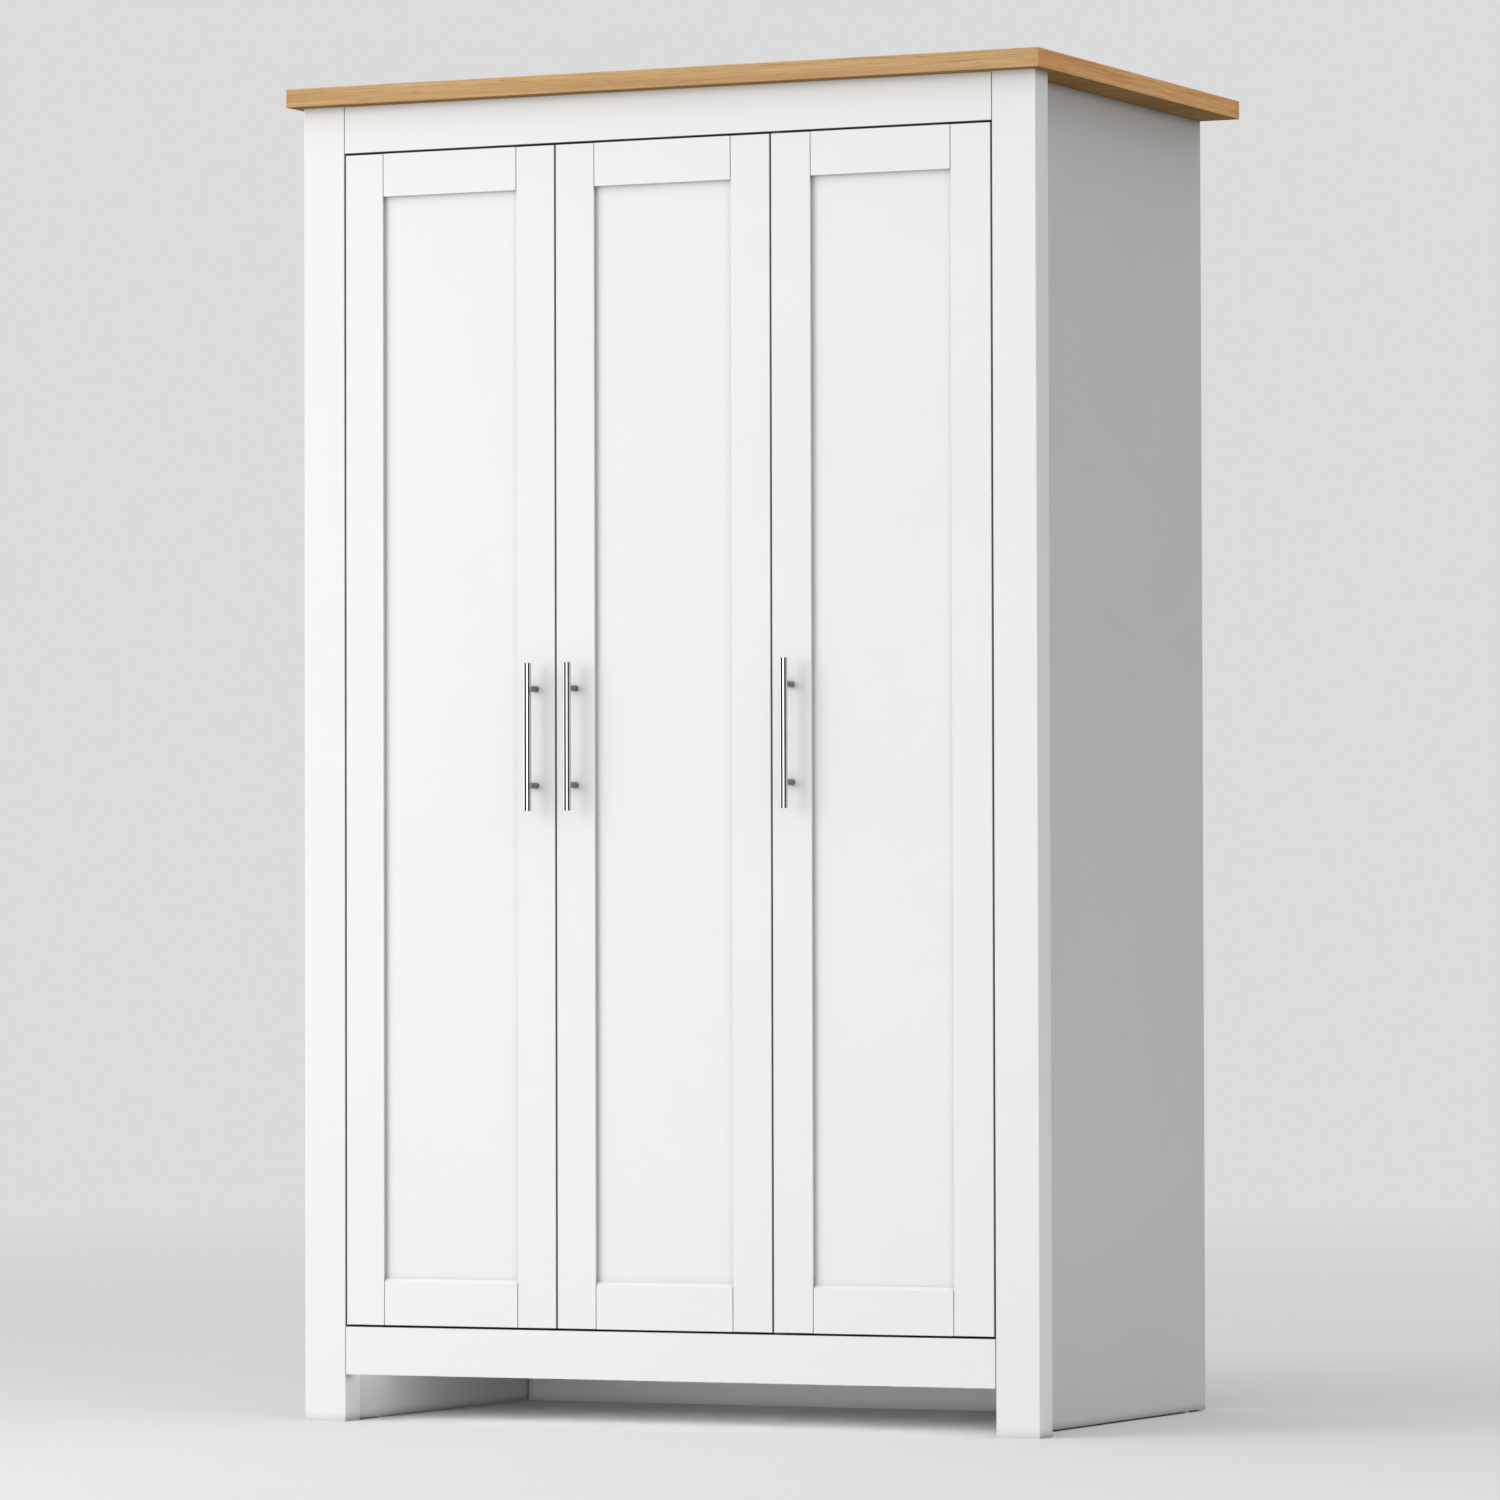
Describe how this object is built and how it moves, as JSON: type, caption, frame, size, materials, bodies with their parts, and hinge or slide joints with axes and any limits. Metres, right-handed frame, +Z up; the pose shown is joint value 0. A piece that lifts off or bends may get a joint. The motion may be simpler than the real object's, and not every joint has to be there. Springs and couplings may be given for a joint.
{
  "type": "wardrobe with doors",
  "caption": "Tall freestanding wardrobe with square front posts, a wooden top board, framed inset doors on concealed hinges, bar handles, a hanging bay and a shelved bay.",
  "frame": {"origin": "on the floor, below the middle of the closed wardrobe with its handles", "axes": "+X to the right seen from the front, -Y out of the doors, +Z up"},
  "size_m": [1.0982, 0.712, 1.7874],
  "materials": {
    "white_lacquer": "satin white lacquered board",
    "oak_board": "matt oak, grain along the board",
    "hardboard": "matt white-faced hardboard",
    "chrome": "polished",
    "zinc_steel": "zinc or nickel plated",
    "white_plastic": "moulded"
  },
  "bodies": {
    "carcass": {"top_board": "oak_board", "left_front_post": "white_lacquer", "right_front_post": "white_lacquer", "left_side_panel": "white_lacquer", "right_side_panel": "white_lacquer", "floor_glides": "white_plastic", "top_front_rail": "white_lacquer", "bottom_front_rail": "white_lacquer", "base_panel": "white_lacquer", "centre_partition": "white_lacquer", "rear_plinth": "white_lacquer", "rear_top_rail": "white_lacquer", "left_back_panel": "hardboard", "right_back_panel": "hardboard", "hat_shelf": "white_lacquer", "shelf_1": "white_lacquer", "shelf_2": "white_lacquer", "shelf_3": "white_lacquer", "shelf_4": "white_lacquer", "shelf_pins": "zinc_steel", "hanging_rail": "chrome", "hanging_rail_sockets": "white_plastic", "cam_locks": "zinc_steel", "wall_brackets": "zinc_steel", "back_panel_nails": "zinc_steel", "hinge_plates": "zinc_steel", "carcass_screws": "zinc_steel", "door_1_hinge_arms": "zinc_steel", "door_2_hinge_arms": "zinc_steel", "door_3_hinge_arms": "zinc_steel"},
    "door_1": {"door_1_left_stile": "white_lacquer", "door_1_right_stile": "white_lacquer", "door_1_top_rail": "white_lacquer", "door_1_bottom_rail": "white_lacquer", "door_1_panel": "white_lacquer", "door_1_handle_bar": "chrome", "door_1_handle_legs": "chrome", "door_1_handle_screws": "zinc_steel", "door_1_hinge_cups": "zinc_steel"},
    "door_1_links": {"door_1_hinge_links": "zinc_steel"},
    "door_2": {"door_2_left_stile": "white_lacquer", "door_2_right_stile": "white_lacquer", "door_2_top_rail": "white_lacquer", "door_2_bottom_rail": "white_lacquer", "door_2_panel": "white_lacquer", "door_2_handle_bar": "chrome", "door_2_handle_legs": "chrome", "door_2_handle_screws": "zinc_steel", "door_2_hinge_cups": "zinc_steel"},
    "door_2_links": {"door_2_hinge_links": "zinc_steel"},
    "door_3": {"door_3_left_stile": "white_lacquer", "door_3_right_stile": "white_lacquer", "door_3_top_rail": "white_lacquer", "door_3_bottom_rail": "white_lacquer", "door_3_panel": "white_lacquer", "door_3_handle_bar": "chrome", "door_3_handle_legs": "chrome", "door_3_handle_screws": "zinc_steel", "door_3_hinge_cups": "zinc_steel"},
    "door_3_links": {"door_3_hinge_links": "zinc_steel"}
  },
  "joints": [
    {"name": "door_1_hinge", "type": "hinge", "parent": "carcass", "child": "door_1", "pos_m": [-0.4709, -0.324, 0.913], "axis": [0, 0, -1], "range_deg": [0, 95]},
    {"name": "door_1_link_turn", "type": "hinge", "parent": "carcass", "child": "door_1_links", "pos_m": [-0.4709, -0.324, 0.913], "axis": [0, 0, -1], "range_deg": [0, 47.5]},
    {"name": "door_2_hinge", "type": "hinge", "parent": "carcass", "child": "door_2", "pos_m": [0.1561, -0.324, 0.913], "axis": [0, 0, 1], "range_deg": [0, 95]},
    {"name": "door_2_link_turn", "type": "hinge", "parent": "carcass", "child": "door_2_links", "pos_m": [0.1561, -0.324, 0.913], "axis": [0, 0, 1], "range_deg": [0, 47.5]},
    {"name": "door_3_hinge", "type": "hinge", "parent": "carcass", "child": "door_3", "pos_m": [0.4709, -0.324, 0.913], "axis": [0, 0, 1], "range_deg": [0, 95]},
    {"name": "door_3_link_turn", "type": "hinge", "parent": "carcass", "child": "door_3_links", "pos_m": [0.4709, -0.324, 0.913], "axis": [0, 0, 1], "range_deg": [0, 47.5]}
  ],
  "couplings": [
    {"joint": "door_1_link_turn", "follows": "door_1_hinge", "ratio": 0.5},
    {"joint": "door_2_link_turn", "follows": "door_2_hinge", "ratio": 0.5},
    {"joint": "door_3_link_turn", "follows": "door_3_hinge", "ratio": 0.5}
  ]
}
